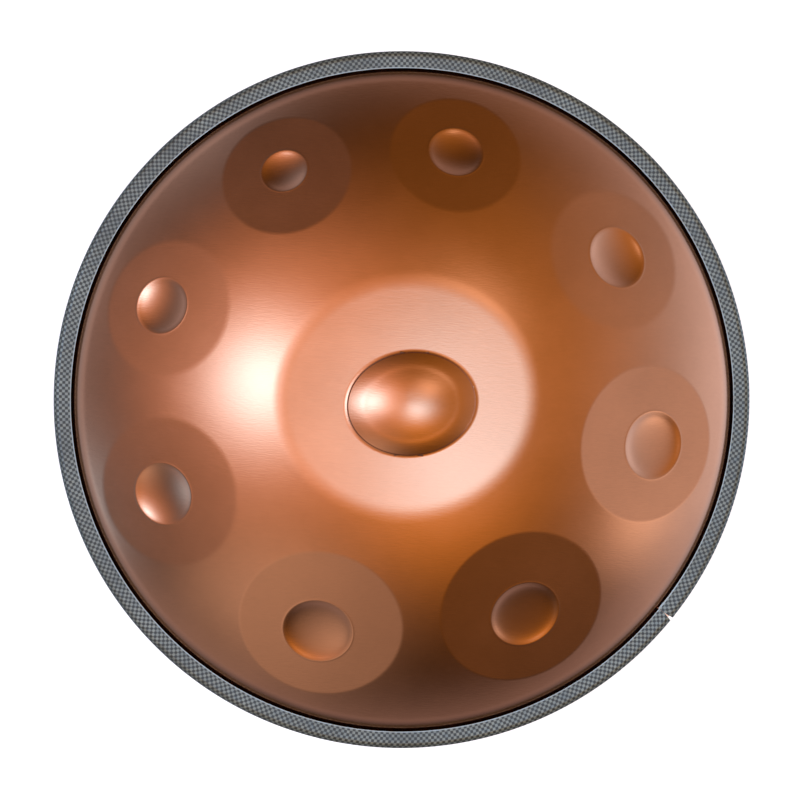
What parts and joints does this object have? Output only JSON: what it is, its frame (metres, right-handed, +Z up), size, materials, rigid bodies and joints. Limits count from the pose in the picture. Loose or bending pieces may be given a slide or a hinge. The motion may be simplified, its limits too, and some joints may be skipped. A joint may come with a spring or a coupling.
{
  "type": "handpan",
  "caption": "Handpan: two copper-coloured steel domes bonded at the rim, with dimpled flat tone fields round an oval ding, a port below and a patterned edge guard.",
  "frame": {"origin": "centre of the flat ring that the handpan stands on, at the bottom", "axes": "+Z up through the middle of the ding, +Y away from the player, X to the player's right"},
  "size_m": [0.56, 0.5599, 0.2107],
  "materials": {
    "shell": "satin, finely brushed, heat-coloured to copper",
    "adhesive": "cured structural adhesive",
    "trim": "soft moulded edge guard",
    "core": "plain stamped strip",
    "film": "satin film with a fine dark grey checked weave"
  },
  "bodies": {
    "root": {"top_shell": "shell", "bottom_shell": "shell", "rim_adhesive": "adhesive", "edge_trim": "trim", "trim_core": "core", "trim_film": "film"}
  },
  "joints": []
}
